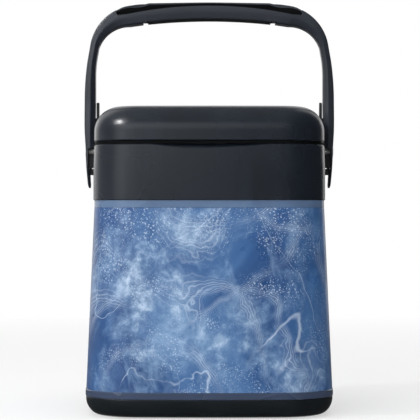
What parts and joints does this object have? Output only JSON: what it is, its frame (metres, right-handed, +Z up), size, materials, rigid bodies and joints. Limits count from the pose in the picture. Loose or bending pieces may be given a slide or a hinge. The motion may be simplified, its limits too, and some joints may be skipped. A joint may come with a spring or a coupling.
{
  "type": "cold therapy cooler",
  "caption": "Portable ice water cooler for cold therapy: tapered insulated tub, hinged lid, swinging bail handle, pump inside and hose coupling at the back.",
  "frame": {"origin": "centre of the footprint on the floor, between the feet", "axes": "+X to the right seen from the front, +Y to the back, +Z up; the finger scoop faces -Y"},
  "size_m": [0.2302, 0.2016, 0.3771],
  "materials": {
    "charcoal": "satin moulded plastic, charcoal",
    "pan_plastic": "satin moulded plastic, near black",
    "tub_plastic": "glossy moulded plastic, slate blue",
    "wrap_print": "glossy printed film, frosted ice pattern in blues",
    "liner_plastic": "smooth moulded plastic, pale grey",
    "dark_plastic": "fine texture moulded plastic, near black",
    "foam": "closed cell foam",
    "rubber": "soft matt rubber",
    "steel": "stainless steel",
    "nylon": "natural nylon",
    "button_blue": "satin moulded plastic, blue",
    "hose": "flexible vinyl hose",
    "cable": "cable jacket",
    "copper": "enamelled copper winding"
  },
  "bodies": {
    "root": {"rubber_feet": "rubber", "base_screws": "steel", "base_shell": "pan_plastic", "outer_tub": "tub_plastic", "label_wrap": "wrap_print", "insulation_foam": "foam", "inner_tub": "liner_plastic", "collar": "charcoal", "hinge_pins": "steel", "pivot_pins": "steel", "pivot_washers": "nylon", "pin_clips": "steel", "port_panel": "dark_plastic", "panel_screws": "steel", "coupling_housing": "dark_plastic", "port_seals": "rubber", "supply_spring": "steel", "return_spring": "steel", "button_spring": "steel", "power_inlet": "dark_plastic", "inlet_pin": "steel", "inlet_nut": "steel", "supply_tube": "hose", "return_tube": "hose", "pump_lead": "cable", "lead_grommet": "rubber", "pump_body": "dark_plastic", "motor_cap": "dark_plastic", "pump_stator": "copper", "pump_cover": "dark_plastic", "impeller_shaft": "steel", "intake_filter": "foam"},
    "lid": {"lid_shell": "charcoal", "lid_liner": "dark_plastic", "lid_foam": "foam", "lid_gasket": "rubber"},
    "handle": {"handle_bail": "charcoal", "grip_pad": "rubber", "guide_ears": "dark_plastic", "friction_blocks": "dark_plastic"},
    "supply_valve": {"supply_poppet": "nylon"},
    "return_valve": {"return_poppet": "nylon"},
    "button": {"release_button": "button_blue"},
    "latch": {"latch_plate": "steel"},
    "rotor": {"impeller": "liner_plastic"}
  },
  "joints": [
    {"name": "lid_open", "type": "hinge", "parent": "root", "child": "lid", "pos_m": [0, 0.0964, 0.2442], "axis": [-1, 0, 0], "range_deg": [0, 30]},
    {"name": "handle_swing", "type": "hinge", "parent": "root", "child": "handle", "pos_m": [0, 0, 0.2375], "axis": [1, 0, 0], "range_deg": [-115, 115]},
    {"name": "supply_valve_slide", "type": "slide", "parent": "root", "child": "supply_valve", "axis": [0, -1, 0], "range_m": [0, 0.003], "stiffness_N_per_m": 200, "springref_m": -0.002, "deforming": ["supply_spring"]},
    {"name": "return_valve_slide", "type": "slide", "parent": "root", "child": "return_valve", "axis": [0, -1, 0], "range_m": [0, 0.003], "stiffness_N_per_m": 200, "springref_m": -0.002, "deforming": ["return_spring"]},
    {"name": "button_push", "type": "slide", "parent": "root", "child": "button", "axis": [0, -1, 0], "range_m": [0, 0.0024], "stiffness_N_per_m": 300, "springref_m": -0.002, "deforming": ["button_spring"]},
    {"name": "latch_lift", "type": "slide", "parent": "root", "child": "latch", "axis": [0, 0, 1], "range_m": [0, 0.0024]},
    {"name": "impeller_spin", "type": "hinge", "parent": "root", "child": "rotor", "pos_m": [0.004, 0.036, 0.06], "axis": [0, 0, 1], "continuous": true}
  ],
  "couplings": [
    {"joint": "latch_lift", "follows": "button_push", "ratio": 1}
  ]
}
